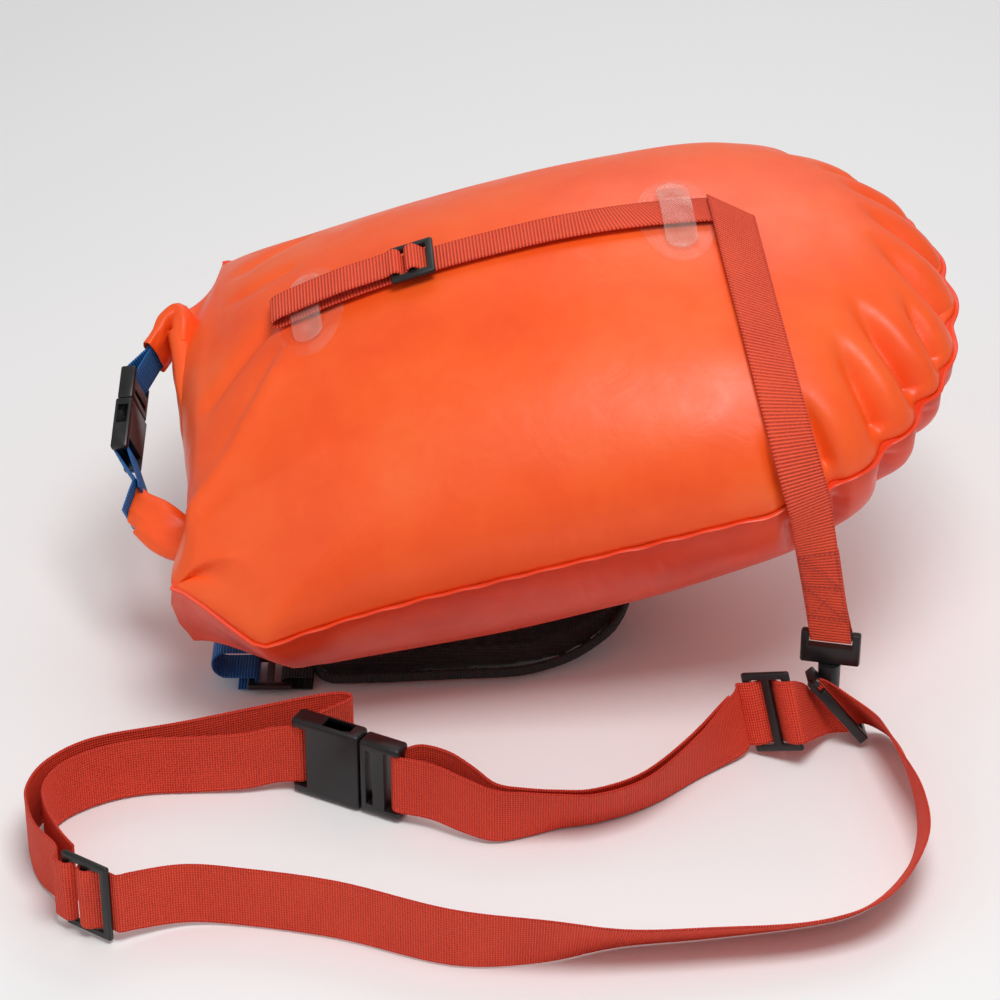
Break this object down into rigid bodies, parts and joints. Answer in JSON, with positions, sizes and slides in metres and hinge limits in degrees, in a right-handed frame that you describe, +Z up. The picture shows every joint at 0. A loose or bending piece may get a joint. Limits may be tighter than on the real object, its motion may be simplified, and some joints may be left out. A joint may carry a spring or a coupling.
{
  "type": "open water swim buoy",
  "caption": "Inflatable open water swim buoy with a roll-top dry bag, folded backpack pads, a leash with a swivel hook and a waist belt with a side-release buckle.",
  "frame": {"origin": "middle of the bounding box, on the floor that the buoy lies on", "axes": "+X runs from the rolled mouth towards the round closed end, -Y towards the viewer and the waist belt, +Z up"},
  "size_m": [0.5536, 0.59, 0.2779],
  "materials": {
    "front_skin": "coated, semi-gloss",
    "rear_skin": "coated, semi-gloss",
    "sleeve_film": "matt",
    "stiffener": "smooth",
    "red_webbing": "woven, matt",
    "blue_webbing": "woven, matt",
    "black_webbing": "woven, matt",
    "pad_cover": "mesh, matt",
    "clear_film": "clear, glossy",
    "black_plastic": "satin",
    "collar_plastic": "satin",
    "pin_steel": "polished"
  },
  "bodies": {
    "buoy": {"adjuster_strap_far": "blue_webbing", "adjuster_strap_near": "blue_webbing", "belt_front_run": "red_webbing", "belt_left_loop": "red_webbing", "belt_right_loop": "red_webbing", "belt_slider_left": "black_plastic", "belt_slider_right": "black_plastic", "clear_loop_far": "clear_film", "clear_loop_neck": "clear_film", "clear_patch_far": "clear_film", "clear_patch_neck": "clear_film", "dry_sleeve": "sleeve_film", "front_chamber": "front_skin", "front_valve_base": "clear_film", "front_valve_stem": "black_plastic", "handle_tab_lower": "blue_webbing", "ladder_lock_far": "black_plastic", "ladder_lock_near": "black_plastic", "leash_drop": "red_webbing", "leash_neck_loop": "red_webbing", "leash_slider": "black_plastic", "leash_upper": "red_webbing", "lower_anchor_far": "rear_skin", "lower_anchor_near": "rear_skin", "mouth_stiffener": "stiffener", "pad_strap_far": "black_webbing", "pad_strap_near": "black_webbing", "rear_chamber": "rear_skin", "rear_valve_base": "clear_film", "rear_valve_stem": "black_plastic", "rim_weld": "front_skin", "roll_buckle_female": "black_plastic", "roll_end_lower": "front_skin", "roll_end_upper": "front_skin", "rolled_mouth": "front_skin", "shoulder_pad_far": "pad_cover", "shoulder_pad_near": "pad_cover", "swivel_eye": "black_plastic", "upper_anchor_far": "rear_skin", "upper_anchor_near": "rear_skin", "waist_buckle_female": "black_plastic"},
    "roll_clip": {"roll_buckle_male": "black_plastic", "handle_tab_upper": "blue_webbing"},
    "roll_prong_upper": {"roll_buckle_prong_upper": "black_plastic"},
    "roll_prong_lower": {"roll_buckle_prong_lower": "black_plastic"},
    "waist_clip": {"waist_buckle_male": "black_plastic"},
    "waist_prong_upper": {"waist_buckle_prong_upper": "black_plastic"},
    "waist_prong_lower": {"waist_buckle_prong_lower": "black_plastic"},
    "hook": {"belt_ring": "black_plastic", "gate_pin": "pin_steel"},
    "gate": {"ring_gate": "black_plastic"},
    "front_collar": {"front_valve_collar": "collar_plastic"},
    "rear_collar": {"rear_valve_collar": "collar_plastic"}
  },
  "joints": [
    {"name": "roll_clip_slide", "type": "slide", "parent": "buoy", "child": "roll_clip", "axis": [0.0522, 0.8663, 0.4968], "range_m": [0, 0.02], "deforming": ["roll_end_upper"]},
    {"name": "roll_prong_upper_flex", "type": "hinge", "parent": "roll_clip", "child": "roll_prong_upper", "pos_m": [-0.23786, 0.10086, 0.13748], "axis": [0.9806, -0.1385, 0.1385], "range_deg": [0, 8], "stiffness_Nm_per_rad": 0.2},
    {"name": "roll_prong_lower_flex", "type": "hinge", "parent": "roll_clip", "child": "roll_prong_lower", "pos_m": [-0.23462, 0.10912, 0.12274], "axis": [-0.9806, 0.1385, -0.1385], "range_deg": [0, 8], "stiffness_Nm_per_rad": 0.2},
    {"name": "waist_clip_slide", "type": "slide", "parent": "buoy", "child": "waist_clip", "axis": [0.8829, -0.4695, 0], "range_m": [0, 0.027], "deforming": ["belt_right_loop"]},
    {"name": "waist_prong_upper_flex", "type": "hinge", "parent": "waist_clip", "child": "waist_prong_upper", "pos_m": [-0.08461, -0.13611, 0.0385], "axis": [-0.4695, -0.8829, 0], "range_deg": [0, 8], "stiffness_Nm_per_rad": 0.2},
    {"name": "waist_prong_lower_flex", "type": "hinge", "parent": "waist_clip", "child": "waist_prong_lower", "pos_m": [-0.08461, -0.13611, 0.0147], "axis": [0.4695, 0.8829, 0], "range_deg": [0, 8], "stiffness_Nm_per_rad": 0.2},
    {"name": "hook_swivel", "type": "hinge", "parent": "buoy", "child": "hook", "pos_m": [0.19366, -0.05045, 0.0446], "axis": [0, 0, 1], "range_deg": [-6, 4]},
    {"name": "gate_hinge", "type": "hinge", "parent": "hook", "child": "gate", "pos_m": [0.1826, -0.07031, 0.04197], "axis": [-0.7594, -0.1163, -0.6401], "range_deg": [0, 35], "stiffness_Nm_per_rad": 0.05},
    {"name": "front_collar_turn", "type": "hinge", "parent": "buoy", "child": "front_collar", "pos_m": [0.02559, 0.27752, 0.20209], "axis": [-0.1459, 0.9042, 0.4013], "range_deg": [0, 90]},
    {"name": "rear_collar_turn", "type": "hinge", "parent": "buoy", "child": "rear_collar", "pos_m": [0.03568, 0.28419, 0.16028], "axis": [-0.0233, 0.9938, -0.1086], "range_deg": [0, 90]}
  ],
  "couplings": [
    {"joint": "roll_prong_lower_flex", "follows": "roll_prong_upper_flex", "ratio": 1},
    {"joint": "waist_prong_lower_flex", "follows": "waist_prong_upper_flex", "ratio": 1}
  ]
}
